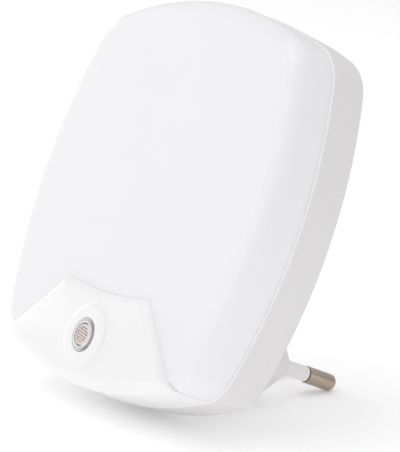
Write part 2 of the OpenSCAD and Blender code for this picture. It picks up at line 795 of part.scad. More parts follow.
// Axial component lying on the board, a round body between two bent leads
module axial(place, r, l, pitch) {
    on_board(place) {
        translate([-l / 2, r, 0]) rotate([0, 90, 0]) cylinder(r = r, h = l);
        for (side = [0, 1]) mirror([side, 0, 0]) bent_lead(l / 2 - lead_sink, pitch / 2, r);
    }
}

module rectifier_diodes() {
    color("dimgray") for (p = diode_places) axial(p, diode_r, diode_l, axial_pitch);
}
module resistors() {
    color("tan") for (p = resistor_places) axial(p, resistor_r, resistor_l, axial_pitch);
}
module fusible_resistor() {
    color("cadetblue") axial(fusible_place, fusible_r, fusible_l, fusible_pitch);
}
module zener_diode() {
    color("orangered") axial(zener_place, zener_r, zener_l, zener_pitch);
}

// Plastic-cased transistor: a cylinder with one flat, standing on three legs
module switching_transistor() {
    color("dimgray") on_board(transistor_place) {
        translate([0, transistor_lift, 0]) rotate([-90, 0, 0]) difference() {
            cylinder(r = transistor_r, h = transistor_l);
            translate([-transistor_r, transistor_flat, -past])
                cube([2 * transistor_r, transistor_r, transistor_l + 2 * past]);
        }
        for (k = [-1, 0, 1])
            translate([k * grid, transistor_lift + lead_sink, 0]) rotate([90, 0, 0])
            cylinder(r = lead_r, h = transistor_lift + lead_sink + board_t + lead_out);
    }
}

// Two leads that leave a lying component's lower end and turn into the board
module end_leads(half_l, pitch, height) {
    for (side = [-1, 1]) translate([side * pitch / 2, 0, 0]) rotate([0, 90, 0])
        bent_lead(half_l - lead_sink, half_l + lead_reach, height);
}

module dropper_capacitor() {
    color("goldenrod") on_board(film_place) {
        translate([-film_w / 2, 0, -film_h / 2]) cube([film_w, film_d, film_h]);
        end_leads(film_h / 2, film_pitch, film_d / 2);
    }
}

// Electrolytic can lying on the board, with the rolled groove near its sealed end
module smoothing_capacitor() {
    groove = 0.35;
    bead_at = 1.4;
    bead_w = 0.4;
    crimp = [for (k = [0:3]) [can_r - (k == 1 || k == 2 ? groove : 0), bead_at + k * bead_w]];
    color("darkslateblue") on_board(can_place) {
        translate([0, can_r, -can_l / 2]) rotate_extrude() polygon(concat(
            [[0, 0], [can_r - groove, 0], [can_r, groove]], crimp,
            [[can_r, can_l - groove], [can_r - groove, can_l], [0, can_l]]
        ));
        end_leads(can_l / 2, can_pitch, can_r);
    }
}

rear_housing();
front_diffuser();
sensor_bezel();
sensor_window();
light_sensor();
sensor_track();
sensor_leads();
contact_pin_left();
contact_pin_right();
pin_sleeve_left();
pin_sleeve_right();
pin_retainer();
retainer_screws();
pin_lead_left();
pin_lead_right();
main_board();
board_screws();
leds();
dropper_capacitor();
smoothing_capacitor();
rectifier_diodes();
resistors();
fusible_resistor();
zener_diode();
switching_transistor();
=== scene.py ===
from math import atan, atan2, cos, hypot, pi, radians, sin, sqrt, tan

import bmesh
import bpy
from mathutils import Matrix, Vector


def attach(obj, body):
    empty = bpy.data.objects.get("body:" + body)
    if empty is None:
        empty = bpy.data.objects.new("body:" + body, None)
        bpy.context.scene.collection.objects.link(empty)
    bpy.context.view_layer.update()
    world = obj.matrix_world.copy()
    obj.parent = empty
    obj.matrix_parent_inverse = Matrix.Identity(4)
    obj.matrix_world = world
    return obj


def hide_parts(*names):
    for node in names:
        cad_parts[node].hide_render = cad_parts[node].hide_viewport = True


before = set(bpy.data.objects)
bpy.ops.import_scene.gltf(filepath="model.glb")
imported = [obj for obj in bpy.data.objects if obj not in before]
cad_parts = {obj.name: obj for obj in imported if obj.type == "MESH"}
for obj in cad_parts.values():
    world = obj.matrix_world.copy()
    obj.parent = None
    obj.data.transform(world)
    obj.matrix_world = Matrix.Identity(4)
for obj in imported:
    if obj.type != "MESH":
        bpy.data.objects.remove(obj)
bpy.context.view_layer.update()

# ---- Camera, floor and studio light ----
# The night light stands on the housing's lower back edge and its pin tips, leaning back, in a
# white studio. The camera was fitted to the picture; the floor lies under those two rests.
camera_place = Vector((0.39783, -0.33445, -0.00293))
camera_aim = Vector((-0.00059, -0.02528, 0.02356))
camera_roll = radians(18.898)


def facing(place, aim):
    """A matrix that stands something at a place and turns its -Z axis to its aim."""
    turn = (aim - place).to_track_quat("-Z", "Y")
    return Matrix.Translation(place) @ turn.to_matrix().to_4x4()


camera = bpy.data.objects.new("camera", bpy.data.cameras.new("camera"))
bpy.context.scene.collection.objects.link(camera)
bpy.context.scene.camera = camera
bpy.context.scene.view_settings.view_transform = "Standard"
camera.data.sensor_fit = "VERTICAL"
camera.data.sensor_height = 36
camera.data.lens = 180.385
camera.data.clip_start, camera.data.clip_end = 0.01, 20
camera.matrix_world = facing(camera_place, camera_aim) @ Matrix.Rotation(camera_roll, 4, "Z")


def linear(colour):
    """An sRGB hex colour as the linear red, green, blue and alpha that shaders take."""
    parts = [int(colour[i:i + 2], 16) / 255 for i in (0, 2, 4)]
    return [p / 12.92 if p <= 0.04045 else ((p + 0.055) / 1.055) ** 2.4 for p in parts] + [1]


def add_node(tree, kind, inputs, **settings):
    """Adds a shader node; inputs names its sockets, each with a value or an output to link."""
    made = tree.nodes.new(kind)
    for name, value in settings.items():
        setattr(made, name, value)
    for name, value in inputs.items():
        if isinstance(value, bpy.types.NodeSocket):
            tree.links.new(value, made.inputs[name])
        else:
            made.inputs[name].default_value = value
    return made


# The two rests, at the housing's back edge and at the pins' tips
floor_front, floor_back = Vector((0, -0.02427, -0.01837)), Vector((0, 0.01804, -0.002))
floor_reach = 3
floor_lean = atan2(floor_back.z - floor_front.z, floor_back.y - floor_front.y)
sheet = bmesh.new()
bmesh.ops.create_grid(sheet, x_segments=1, y_segments=1, size=floor_reach,
                      matrix=Matrix.Translation(floor_front) @ Matrix.Rotation(floor_lean, 4, "X"))
floor = bpy.data.objects.new("studio_floor", bpy.data.meshes.new("studio_floor"))
sheet.to_mesh(floor.data)
sheet.free()
bpy.context.scene.collection.objects.link(floor)

# Matt white acrylic of a light table, glowing a little from below; its underside is clear, so
# that a camera under the table still sees the night light
table = bpy.data.materials.new("white_light_table_acrylic")
table.use_nodes = True
tree = table.node_tree
coat = tree.nodes["Principled BSDF"]
coat.inputs["Base Color"].default_value = linear("FCFCFC")
coat.inputs["Roughness"].default_value = 0.7
coat.inputs["Emission Color"].default_value = linear("FFFFFF")
coat.inputs["Emission Strength"].default_value = 0.155
side = add_node(tree, "ShaderNodeNewGeometry", {})
clear = add_node(tree, "ShaderNodeBsdfTransparent", {})
seen = add_node(tree, "ShaderNodeMixShader", {
    0: side.outputs["Backfacing"], 1: coat.outputs[0], 2: clear.outputs[0]})
tree.links.new(seen.outputs[0], tree.nodes["Material Output"].inputs["Surface"])
floor.data.materials.append(table)

lamp_middle = Vector((0, -0.03, 0.026))


def soft_box(name, place, width, height, watts):
    """A soft box of slightly cool white, placed and sized in metres, facing the night light."""
    box = bpy.data.lights.new(name, "AREA")
    box.shape = "RECTANGLE"
    box.size, box.size_y, box.energy = width, height, watts
    box.color = linear("FCFDFF")[:3]
    stand = bpy.data.objects.new(name, box)
    bpy.context.scene.collection.objects.link(stand)
    stand.matrix_world = facing(Vector(place), lamp_middle)


soft_box("soft_box_above", (0, -0.2, 1.4), 1.4, 1.4, 2.2)
soft_box("soft_box_front_high", (-0.2, -1.2, 1.3), 1, 1, 4.2)
soft_box("soft_box_left_low", (-1.6, -0.1, 0.2), 1, 0.6, 6)
soft_box("strip_box", (0.39, -1.58, 0.11), 0.1, 1.6, 2.1)

world = bpy.data.worlds.new("white_studio")
bpy.context.scene.world = world
world.use_nodes = True
surround = world.node_tree.nodes["Background"]
surround.inputs["Color"].default_value = linear("FFFFFF")
surround.inputs["Strength"].default_value = 0.68

# ---- Opal diffuser ----
# The front half of the body: one thin moulding in opal plastic that glows when the lamp chips
# behind it are lit. It snaps over the housing's lip and is notched for the sensor bezel.
body_w, body_h, body_z = 84.6, 90.2, 26.4
side_bow, top_bow, bottom_bow = 106, 89, 85
top_corner, bottom_corner = 12, 9
y_back, y_seam, y_front = -23.5, -33.5, -43.9
crown, edge_depth, edge_inset, top_edge_more = 0.3, 4.2, 3.0, 1.6
cover_wall, seam_step, cover_in = 1.8, 0.25, 0.4
seam_break_depth, seam_break, seam_gap, inner_gap = 2, 0.1, 0.03, 0.1
side_c = (body_w / 2 - side_bow, 0)
top_c = (0, body_h / 2 - top_bow)
bottom_c = (0, bottom_bow - body_h / 2)
bow_steps, corner_steps, side_steps = 20, 14, 32


def corner_centre(c1, r1, c2, r2, r):
    """Centre of the circle of radius r that touches two bows from inside, on the right."""
    a, b, dx, dz = r1 - r, r2 - r, c2[0] - c1[0], c2[1] - c1[1]
    far = hypot(dx, dz)
    along = (a * a - b * b + far * far) / (2 * far)
    off = sqrt(a * a - along * along)
    return max((c1[0] + (dx * along - s * dz * off) / far,
                c1[1] + (dz * along + s * dx * off) / far) for s in (-1, 1))


def bearing(start, end):
    """The direction from one point to another."""
    return atan2(end[1] - start[1], end[0] - start[0])


def arc(centre, radius, start, end, steps):
    """Points on an arc with their outward directions, without the last one."""
    turns = [start + (end - start) * i / steps for i in range(steps)]
    return [(centre[0] + radius * cos(t), centre[1] + radius * sin(t), cos(t), sin(t))
            for t in turns]


def quarter(steps):
    """A rounding's steps through a quarter turn: its rise and how far it has come in, 0 to 1."""
    turns = [pi / 2 * i / steps for i in range(steps + 1)]
    return [(sin(t), 1 - cos(t)) for t in turns]


high = corner_centre(side_c, side_bow, top_c, top_bow, top_corner)
low = corner_centre(side_c, side_bow, bottom_c, bottom_bow, bottom_corner)
right = (arc(bottom_c, bottom_bow, -pi / 2, bearing(bottom_c, low), bow_steps)
         + arc(low, bottom_corner, bearing(bottom_c, low), bearing(side_c, low), corner_steps)
         + arc(side_c, side_bow, bearing(side_c, low), bearing(side_c, high), side_steps)
         + arc(high, top_corner, bearing(side_c, high), bearing(top_c, high), corner_steps)
         + arc(top_c, top_bow, bearing(top_c, high), pi / 2, bow_steps))
outline = right + [(0, body_h / 2, 0, 1)] + [
    (-x, z, -nx, nz) for x, z, nx, nz in reversed(right[1:])]


def ring(mesh, points):
    """A closed loop of edges through points in mm."""
    corners = [mesh.verts.new(p) for p in points]
    return [mesh.edges.new((a, b)) for a, b in zip(corners, corners[1:] + corners[:1])]


def body_ring(mesh, y, inset, top_inset=None):
    """The body's outline at depth y, drawn in by an inset that may differ at the top."""
    top_inset = inset if top_inset is None else top_inset
    insets = [inset + (top_inset - inset) * max(nz, 0) ** 2 for x, z, nx, nz in outline]
    return ring(mesh, [(x - nx * i, y, z - nz * i + body_z)
                       for i, (x, z, nx, nz) in zip(insets, outline)])


def bridge(mesh, rings):
    """Joins each ring to the next."""
    for a, b in zip(rings, rings[1:]):
        bmesh.ops.bridge_loops(mesh, edges=a + b)


def close_end(mesh, loop):
    """Closes a ring with triangles round a middle point."""
    lid = bmesh.ops.contextual_create(mesh, geom=loop)["faces"]
    bmesh.ops.poke(mesh, faces=lid)


sharp_angle = radians(35)


def make_piece(mesh, name, material, node):
    """Turns a bmesh in mm into a piece that stands for a CAD node."""
    bmesh.ops.remove_doubles(mesh, verts=mesh.verts, dist=1e-5)
    bmesh.ops.recalc_face_normals(mesh, faces=mesh.faces)
    bmesh.ops.scale(mesh, vec=(0.001, 0.001, 0.001), verts=mesh.verts)
    piece = bpy.data.objects.new(name, bpy.data.meshes.new(name))
    mesh.to_mesh(piece.data)
    mesh.free()
    piece.data.shade_smooth()
    piece.data.set_sharp_from_angle(angle=sharp_angle)
    piece.data.materials.append(material)
    bpy.context.scene.collection.objects.link(piece)
    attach(piece, "root")
    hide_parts(node)
    return piece


def grained(name, dark, light, size, settings, detail=3, rough=0.6):
    """A material that drifts between two colours over patches of a size in mm."""
    made = bpy.data.materials.new(name)
    made.use_nodes = True
    tree = made.node_tree
    coat = tree.nodes["Principled BSDF"]
    place = add_node(tree, "ShaderNodeTexCoord", {}).outputs["Object"]
    grain = add_node(tree, "ShaderNodeTexNoise", {
        "Vector": place, "Scale": 1000 / size, "Detail": detail, "Roughness": rough})
    tint = add_node(tree, "ShaderNodeMix", {
        "Factor": grain.outputs["Fac"], "A": linear(dark), "B": linear(light)}, data_type="RGBA")
    tree.links.new(tint.outputs["Result"], coat.inputs["Base Color"])
    for socket, value in settings.items():
        coat.inputs[socket].default_value = value
    return made, tree, coat, place, tint.outputs["Result"]


# Opal polypropylene, moulded in a lightly polished tool: milky and soft-edged, with a low sheen.
# Its flow marks are some 17 mm across.
opal = grained("opal_polypropylene", "F4F3F5", "F6F5F7", 16.7, {
    "Roughness": 0.4, "IOR": 1.49, "Coat Weight": 0.35, "Coat Roughness": 0.05,
    "Subsurface Weight": 0.25, "Subsurface Radius": (1, 1, 1), "Subsurface Scale": 0.001},
    rough=0.5)[0]

# The crowned face: each ring lies at a share of the way out to the rounded edge
shell = bmesh.new()
crown_rings = []
for share in (0.03, 0.1, 0.2, 0.3, 0.4, 0.5, 0.6, 0.7, 0.8, 0.88, 0.95):
    insets = [cover_in + edge_inset + top_edge_more * max(nz, 0) ** 2 for x, z, nx, nz in outline]
    crown_rings.append(ring(shell, [
        ((x - nx * i) * share, y_front - crown * (1 - share ** 2), (z - nz * i) * share + body_z)
        for i, (x, z, nx, nz) in zip(insets, outline)]))


def edge_rings(mesh, depth, wall):
    """The rounding round the front, from the face to the side wall."""
    rings = []
    for rise, drawn in reversed(quarter(20)):
        inset = cover_in + wall + edge_inset * drawn
        rings.append(body_ring(mesh, y_front + edge_depth - depth * rise, inset,
                               inset + top_edge_more * drawn))
    return rings


outer = crown_rings + edge_rings(shell, edge_depth, 0)
outer += [body_ring(shell, y_seam - seam_break_depth, cover_in - seam_break),
          body_ring(shell, y_seam + seam_gap, seam_step)]
inner = edge_rings(shell, edge_depth - cover_wall, cover_wall)
bridge(shell, outer + [body_ring(shell, y_seam - inner_gap, seam_step + cover_wall)] + inner[::-1])
close_end(shell, crown_rings[0])
close_end(shell, inner[0])
diffuser = make_piece(shell, "opal_front", opal, "front_diffuser")

# ---- Sensor bezel ----
# A separate white moulding that fills the diffuser's notch: a raised flat with sloped borders and
# a rounded foot, and a small disc round the sensor's window. It snaps on at its foot.
tip_w, foot_w, top_drop, top_hollow = 30.1, 62.8, 23.6, 92
y_flat, y_disc, bezel_wall = -45.6, -46.5, 1.6
top_slope, side_slope, side_slope_top, foot_slope = 2.6, 1, 2.2, 2.1
# Powers that curve the borders: one eases them out of the flat, and the foot's, being near it,
# makes that border almost a straight chamfer
flat_fall, foot_fall = 1.7, 1.45
foot_tuck, tuck_up, tuck_reach = 2.4, 0.6, 6
top_lift, lift_reach = 0.2, 16
sensor_z = body_z - 34
disc_r, disc_round, disc_round_deep, disc_fillet, disc_fillet_deep = 7, 1.1, 0.6, 0.8, 0.3
window_r, window_gap, window_break = 3.78, 0.05, 0.12
hollow_c = (0, top_hollow - top_drop)
tip = (tip_w / 2, hollow_c[1] - sqrt(top_hollow ** 2 - tip_w ** 2 / 4))
foot = (foot_w / 2, bottom_c[1] - sqrt(bottom_bow ** 2 - foot_w ** 2 / 4))
flank_l = hypot(foot[0] - tip[0], foot[1] - tip[1])
flank = ((foot[0] - tip[0]) / flank_l, (foot[1] - tip[1]) / flank_l)


def leaves(p, centre, radius):
    """Where the line from p along the flank crosses a circle."""
    dx, dz = p[0] - centre[0], p[1] - centre[1]
    b = flank[0] * dx + flank[1] * dz
    far = sqrt(b * b - dx * dx - dz * dz + radius * radius) - b
    return p[0] + flank[0] * far, p[1] + flank[1] * far


def straight(start, end, steps):
    """Points on a straight line, without the last one."""
    return [(start[0] + (end[0] - start[0]) * i / steps,
             start[1] + (end[1] - start[1]) * i / steps) for i in range(steps)]


def bezel_line(top_in, side_in, foot_in, side_top):
    """The bezel's outline, drawn in by its borders: top hollow, flanks (two widths) and foot."""
    # The flanks' lines, moved in by each width, start a little above the tip
    starts = [(tip[0] + (flank[1] - flank[0]) * i, tip[1] - (flank[0] + flank[1]) * i)
              for i in (side_top, side_in)]
    a = leaves(starts[0], hollow_c, top_hollow + top_in)
    b = leaves(starts[1], bottom_c, bottom_bow - foot_in)
    ta, fb = bearing(hollow_c, a), bearing(bottom_c, b)
    top = [p[:2] for p in arc(hollow_c, top_hollow + top_in, ta, -pi - ta, 40)]
    down = straight((-a[0], a[1]), (-b[0], b[1]), 20)
    under = [p[:2] for p in arc(bottom_c, bottom_bow - foot_in, -pi - fb, fb, 64)]
    return top + down + under + straight(b, a, 20)


def bezel_ring(mesh, y, top_in, side_in, foot_in, side_top=None, tuck=0, lift=0):
    """The bezel's outline at depth y; tuck rounds its foot corners, lift raises its top."""
    line = bezel_line(top_in, side_in, foot_in, side_in if side_top is None else side_top)
    points = []
    for x, z in line:
        near = max(0, 1 - hypot(abs(x) - foot[0], z - foot[1]) / tuck_reach) ** 2
        points.append((x * (1 - tuck * near / foot[0]),
                       y - lift * max(0, z - foot[1]) / lift_reach,
                       z + tuck * near * tuck_up + body_z))
    return ring(mesh, points)


def round_ring(mesh, y, r):
    """A circle round the sensor's axis at depth y."""
    turns = [2 * pi * i / 96 for i in range(96)]
    return ring(mesh, [(r * cos(t), y, sensor_z + r * sin(t)) for t in turns])


def slope_rings(mesh, wall):
    """The borders from the flat outwards or, with a wall, their plainly rounded inner face."""
    rings = []
    for rise, left in reversed(quarter(12)):
        if not wall:
            rise = 1 - (1 - left) ** flat_fall
        chamfer = 1 - (1 - left) ** foot_fall
        rings.append(bezel_ring(
            mesh, y_front + wall + (y_flat - y_front) * rise, wall + top_slope * left,
            wall + side_slope * left, cover_in + wall + foot_slope * chamfer,
            wall + side_slope_top * left, foot_tuck * left, top_lift * (1 - rise)))
    return rings


# White ABS, moulded in a lightly polished tool: soft highlights along the folds, and flow marks
# some 11 mm across
bezel_white = grained("white_abs_polished", "F8F7F7", "FAF9F9", 11.1,
                      {"Roughness": 0.38, "IOR": 1.54}, rough=0.5)[0]

cap = bmesh.new()
slope = slope_rings(cap, 0)
opening_r = window_r + window_gap
rim = [round_ring(cap, y_flat + bezel_wall, opening_r),
       round_ring(cap, y_disc + window_break, opening_r),
       round_ring(cap, y_disc, opening_r + window_break)]
for rise, drawn in quarter(8):
    rim.append(round_ring(cap, y_disc + disc_round_deep * drawn, disc_r - disc_round * (1 - rise)))
for rise, drawn in quarter(5)[1:]:
    rim.append(round_ring(cap, y_flat - disc_fillet_deep * (1 - rise),
                          disc_r + disc_fillet * drawn))
bridge(cap, rim)
bmesh.ops.triangle_fill(cap, edges=rim[-1] + slope[0], use_beauty=True)
inside = slope_rings(cap, bezel_wall)
bridge(cap, slope + [bezel_ring(cap, y_seam, 0, 0, seam_step),
                     bezel_ring(cap, y_seam, bezel_wall, bezel_wall, bezel_wall + seam_step)]
       + inside[::-1])
bmesh.ops.triangle_fill(cap, edges=rim[0] + inside[0], use_beauty=True)
make_piece(cap, "bezel_cap", bezel_white, "sensor_bezel")

# The diffuser is notched for the bezel with a hair of play; the cutter goes past it on all the
# open sides
play, past_front, past_seam, past_foot = 0.02, 2, 1, 2
notch = bmesh.new()
hole = bezel_ring(notch, y_front - past_front, -play, -play, -past_foot)
hole_end = bezel_ring(notch, y_seam + past_seam, -play, -play, -past_foot)
bridge(notch, [hole, hole_end])
for end in (hole, hole_end):
    bmesh.ops.contextual_create(notch, geom=end)
bmesh.ops.recalc_face_normals(notch, faces=notch.faces)
bmesh.ops.scale(notch, vec=(0.001, 0.001, 0.001), verts=notch.verts)
cutter = bpy.data.objects.new("notch_cutter", bpy.data.meshes.new("notch_cutter"))
notch.to_mesh(cutter.data)
notch.free()
bpy.context.scene.collection.objects.link(cutter)
cut = diffuser.modifiers.new("notch", "BOOLEAN")
cut.object, cut.operation, cut.solver = cutter, "DIFFERENCE", "EXACT"
bpy.context.view_layer.update()
cut_mesh = bpy.data.meshes.new_from_object(
    diffuser.evaluated_get(bpy.context.evaluated_depsgraph_get()))
diffuser.modifiers.clear()
diffuser.data = cut_mesh
diffuser.data.set_sharp_from_angle(angle=sharp_angle)
bpy.data.objects.remove(cutter)

# ---- Rear housing ----
# The back half: a shallow pan in satin white ABS with a rim that stands out round the diffuser,
# a locating lip, board posts, and the six-sided plug boss that carries the pins.
housing_wall, housing_draft, back_edge_r = 2.4, 0.35, 1.2
rim_round, rim_round_deep, rim_gap, rim_break = 0.24, 0.3, 0.04, 0.01
lip_in, lip_t, lip_h, lip_break = 2.28, 1.2, 3.2, 0.3
boss_w, boss_h, boss_end_r, boss_wall, boss_end_t = 30, 13.7, 2, 1.6, 3
boss_fillet, boss_round = 0.25, 0.5
pin_pitch, tip_pitch, pin_l, pin_hole_r = 18.6, 17.5, 19, 1.85
post_x, post_low, post_high, post_r, post_h = 18.5, -5.6, 36.4, 3, 9.2
pilot_r, pilot_from, pilot_break, pilot_break_deep, post_sunk = 1.15, 2.9, 0.25, 0.3, 1
y_floor = y_back - housing_wall
toe = atan((pin_pitch - tip_pitch) / 2 / pin_l)


def boss_line(inset, flare=0):
    """The plug boss's six-sided outline with rounded ends, drawn in by a wall."""
    apex = boss_w / 2 - boss_end_r + (boss_end_r - inset) * sqrt(2) + flare
    half = boss_h / 2 - inset + flare
    r = boss_end_r - inset + flare
    c = apex - r * sqrt(2)
    end = [(c + r * cos(t), r * sin(t)) for t in (-pi / 4 + pi / 2 * i / 10 for i in range(11))]
    corner = apex - half
    flat = straight((-corner, -half), (corner, -half), 12)
    lower = flat + straight((corner, -half), end[0], 6) + end
    return lower + [(-x, -z) for x, z in lower]


def boss_ring(mesh, y, inset, flare=0):
    """The boss's outline at depth y."""
    return ring(mesh, [(x, y, z) for x, z in boss_line(inset, flare)])


# Satin white ABS with the fine even grain of a spark-eroded tool, about 0.15 mm across; drawn
# at 0.4 mm so that it shows as a soft break-up of the sheen
housing_white, tree, coat, place, tint = grained(
    "white_abs_satin", "E6E4E5", "EAE8E9", 0.4, {"Roughness": 0.45, "IOR": 1.54}, detail=2)
bump = add_node(tree, "ShaderNodeBump", {
    "Strength": 0.15, "Distance": 0.00003, "Height": tree.nodes["Noise Texture"].outputs["Fac"]})
tree.links.new(bump.outputs["Normal"], coat.inputs["Normal"])
# Painted highlight: the base colour turns lighter on the thin rim at the seam, where it catches the
# light
highlight_end, highlight_full = 0.5, 0.3
depth = add_node(tree, "ShaderNodeSeparateXYZ", {"Vector": place})
rim_highlight = add_node(tree, "ShaderNodeMapRange", {
    "Value": depth.outputs["Y"], "From Min": (y_seam + highlight_end) / 1000,
    "From Max": (y_seam + highlight_full) / 1000})
rim_highlight_tint = add_node(tree, "ShaderNodeMix", {
    "Factor": rim_highlight.outputs["Result"], "A": tint, "B": linear("F8F7F8")}, data_type="RGBA")
tree.links.new(rim_highlight_tint.outputs["Result"], coat.inputs["Base Color"])

pan = bmesh.new()
back = []
for rise, drawn in reversed(quarter(8)):
    back.append(body_ring(pan, y_back - back_edge_r * (1 - rise),
                          housing_draft + back_edge_r * drawn))
for rise, drawn in quarter(4):
    back.append(body_ring(pan, y_seam + rim_round_deep * (1 - rise), rim_round * drawn))
for y, inset in ((y_seam + rim_gap, rim_round + rim_break), (y_seam + rim_gap, lip_in),
                 (y_seam - lip_h + lip_break, lip_in), (y_seam - lip_h, lip_in + lip_break),
                 (y_seam - lip_h, lip_in + lip_t), (y_floor, lip_in + lip_t)):
    back.append(body_ring(pan, y, inset))
bridge(pan, back)
root_ring = boss_ring(pan, y_back, 0, boss_fillet)
bmesh.ops.triangle_fill(pan, edges=back[0] + root_ring, use_beauty=True)
boss = [root_ring]
for rise, drawn in quarter(5)[1:]:
    boss.append(boss_ring(pan, y_back + boss_fillet * drawn, 0, boss_fillet * (1 - rise)))
for rise, drawn in quarter(5):
    boss.append(boss_ring(pan, -boss_round * (1 - rise), 0, -boss_round * drawn))
bridge(pan, boss)


def pin_hole(mesh, y, side):
    """A round hole's edge in the plug face's wall, on a pin's leaning axis."""
    x = side * (pin_pitch / 2 - y * tan(toe))
    turns = [2 * pi * i / 48 for i in range(48)]
    return ring(mesh, [(x + pin_hole_r * cos(t), y, pin_hole_r * sin(t)) for t in turns])


outside = [pin_hole(pan, 0, side) for side in (-1, 1)]
inside = [pin_hole(pan, -boss_end_t, side) for side in (-1, 1)]
for a, b in zip(outside, inside):
    bridge(pan, [a, b])
inner_boss = [boss_ring(pan, -boss_end_t, boss_wall), boss_ring(pan, y_floor, boss_wall)]
bridge(pan, inner_boss)
bmesh.ops.triangle_fill(pan, edges=boss[-1] + outside[0] + outside[1], use_beauty=True)
bmesh.ops.triangle_fill(pan, edges=inner_boss[0] + inside[0] + inside[1], use_beauty=True)
bmesh.ops.triangle_fill(pan, edges=back[-1] + inner_boss[1], use_beauty=True)


def turned(mesh, profile, place, steps):
    """Spins a profile of (radius, distance along the axis) in mm and puts it in its place."""
    before = set(mesh.verts)
    corners = [mesh.verts.new((r, 0, along)) for r, along in profile]
    edges = [mesh.edges.new(pair) for pair in zip(corners, corners[1:] + corners[:1])]
    if profile[0][0] == 0:
        mesh.edges.remove(edges.pop())
    bmesh.ops.spin(mesh, geom=corners + edges, cent=(0, 0, 0), axis=(0, 0, 1),
                   angle=2 * pi, steps=steps, use_merge=True, use_normal_flip=False)
    bmesh.ops.transform(mesh, matrix=place, verts=[v for v in mesh.verts if v not in before])


# Board posts with blind pilot bores, rooted in the pan's floor
to_front = Matrix.Rotation(pi / 2, 4, "X")
post = [(0, -post_sunk), (post_r, -post_sunk), (post_r, post_h), (pilot_r + pilot_break, post_h),
        (pilot_r, post_h - pilot_break_deep), (pilot_r, pilot_from), (0, pilot_from)]
for x in (-post_x, post_x):
    for z in (post_low, post_high):
        turned(pan, post, Matrix.Translation((x, y_floor, z)) @ to_front, 40)
make_piece(pan, "housing_pan", housing_white, "rear_housing")

# ---- Sensor window ----
# A clear acrylic cap over the sensor: its front has a shallow round dish, its rim is left a
# little frosted, and its rear flange sits in the sleeve behind the bezel.
y_window, edge_round, edge_in = -46.75, 0.35, 0.06
flange_r, flange_in, flange_t = 5, 2.75, 1
cup_r, cup_in, cup_break, cup_break_deep = 3.15, 0.3, 0.1, 0.15

# Clear acrylic, injection moulded and glossy: the sensor shows through its middle, and its
# frosted rim is uneven over some 1.1 mm
frost_from, frost_to, clear_share = 2.6, 2.8, 0.14
acrylic, tree, coat, place, cloud = grained(
    "clear_acrylic", "E2E0E1", "F0EEEF", 1.11, {"Roughness": 0.08, "IOR": 1.49}, detail=2,
    rough=0.5)
centred = add_node(tree, "ShaderNodeMapping", {
    "Vector": place, "Location": (0, 0, -sensor_z / 1000), "Scale": (1, 0, 1)})
off_axis = add_node(tree, "ShaderNodeVectorMath", {0: centred.outputs["Vector"]},
                    operation="LENGTH")
frost = add_node(tree, "ShaderNodeMapRange", {
    "Value": off_axis.outputs["Value"], "From Min": frost_from / 1000,
    "From Max": frost_to / 1000})
# Painted shade: the frosted rim is made more see-through towards +X, so that the shaded sleeve
# behind darkens that side
shade_from_x, shade_to_x, frost_share, shaded_side_share = 0.4, 2.9, 0.8, 0.15
across = add_node(tree, "ShaderNodeSeparateXYZ", {"Vector": place})
shaded_side_fade = add_node(tree, "ShaderNodeMapRange", {
    "Value": across.outputs["X"], "From Min": shade_from_x / 1000, "From Max": shade_to_x / 1000,
    "To Min": frost_share, "To Max": shaded_side_share})
solid = add_node(tree, "ShaderNodeMapRange", {
    "Value": frost.outputs["Result"], "To Min": clear_share, "To Max": shaded_side_fade.outputs["Result"]})
# Painted highlight: a bright ring in the colour and opacity all round the dish's sharp lip
lip_r, lip_half = 2.85, 0.1
lip_highlight = add_node(tree, "ShaderNodeMath", {
    0: off_axis.outputs["Value"], 1: lip_r / 1000, 2: lip_half / 1000}, operation="COMPARE")
lip_highlight_colour = add_node(tree, "ShaderNodeMix", {
    "Factor": lip_highlight.outputs[0], "A": cloud, "B": linear("FAF8F9")}, data_type="RGBA")
shown = add_node(tree, "ShaderNodeMath", {0: solid.outputs["Result"], 1: lip_highlight.outputs[0]},
                 operation="MAXIMUM")
tree.links.new(lip_highlight_colour.outputs["Result"], coat.inputs["Base Color"])
tree.links.new(shown.outputs[0], coat.inputs["Alpha"])

# The profile as radius and depth: the dish from its middle to its lip, the rounded edge, and the
# flange and the sensor's cup behind
dish = [(0, 0.2), (1.2, 0.2), (2.3, 0.19), (2.55, 0.14), (2.7, 0.05), (2.82, 0), (3, 0.01)]
edge = [(window_r - edge_round * (1 - rise), edge_in + edge_round * drawn)
        for rise, drawn in quarter(6)]
behind = [(window_r, flange_in), (flange_r, flange_in), (flange_r, flange_in + flange_t),
          (cup_r, flange_in + flange_t), (cup_r, cup_in + cup_break_deep),
          (cup_r - cup_break, cup_in), (0, cup_in)]
to_back = Matrix.Rotation(-pi / 2, 4, "X")
glass = bmesh.new()
turned(glass, dish + edge + behind,
       Matrix.Translation((0, y_window, sensor_z)) @ to_back, 96)
make_piece(glass, "window_cap", acrylic, "sensor_window")

# ---- Light sensor ----
# A light-dependent resistor: a pressed ceramic disc with two flats and a red-brown track that
# is printed in zigzag rows over its face. It stands in the window's cup on its two leads.
sensor_x, sensor_y, sensor_r, half_flat, sensor_t = -0.35, -46.4, 2.7, 2.42, 2.8
sensor_round = 0.25

# Cream alumina ceramic under a clear lacquer: its pressed grain, a few hundredths of a
# millimetre, is drawn at 0.25 mm so that it shows
ceramic = grained("cream_ceramic", "F5ECE6", "FCF6F1", 0.25,
                  {"Roughness": 0.35, "Coat Weight": 0.5}, detail=2)[0]


def disc_ring(mesh, y, inset):
    """The sensor's outline, a circle with two flats."""
    r, flat = sensor_r - inset, half_flat - inset
    turns = [2 * pi * i / 72 for i in range(72)]
    return ring(mesh, [(sensor_x + r * cos(t), y, sensor_z + max(-flat, min(flat, r * sin(t))))
                       for t in turns])


